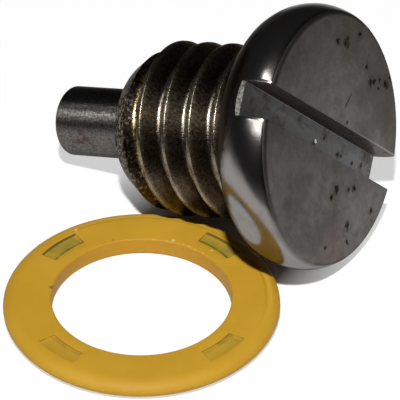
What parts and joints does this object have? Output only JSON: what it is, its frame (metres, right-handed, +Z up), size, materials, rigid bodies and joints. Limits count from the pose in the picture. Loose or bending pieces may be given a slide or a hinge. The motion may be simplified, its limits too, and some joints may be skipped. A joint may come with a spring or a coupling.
{
  "type": "magnetic drain plug",
  "caption": "Slotted drain plug with a bare magnet rod in its end, lying beside its flat sealing washer.",
  "frame": {"origin": "middle of the sealing washer's underside, on the floor that everything lies on", "axes": "+Z up, along the washer's bore; +X along the lying plug in plan, from its magnet to its head; +Y from the washer towards the plug"},
  "size_m": [0.0186, 0.0243, 0.0139],
  "materials": {
    "steel": "turned, oily and worn",
    "magnet_metal": "ground, dull",
    "washer_plastic": "smooth moulded, soft shine"
  },
  "bodies": {
    "root": {"plug_body": "steel", "magnet": "magnet_metal", "seal_washer": "washer_plastic"}
  },
  "joints": []
}
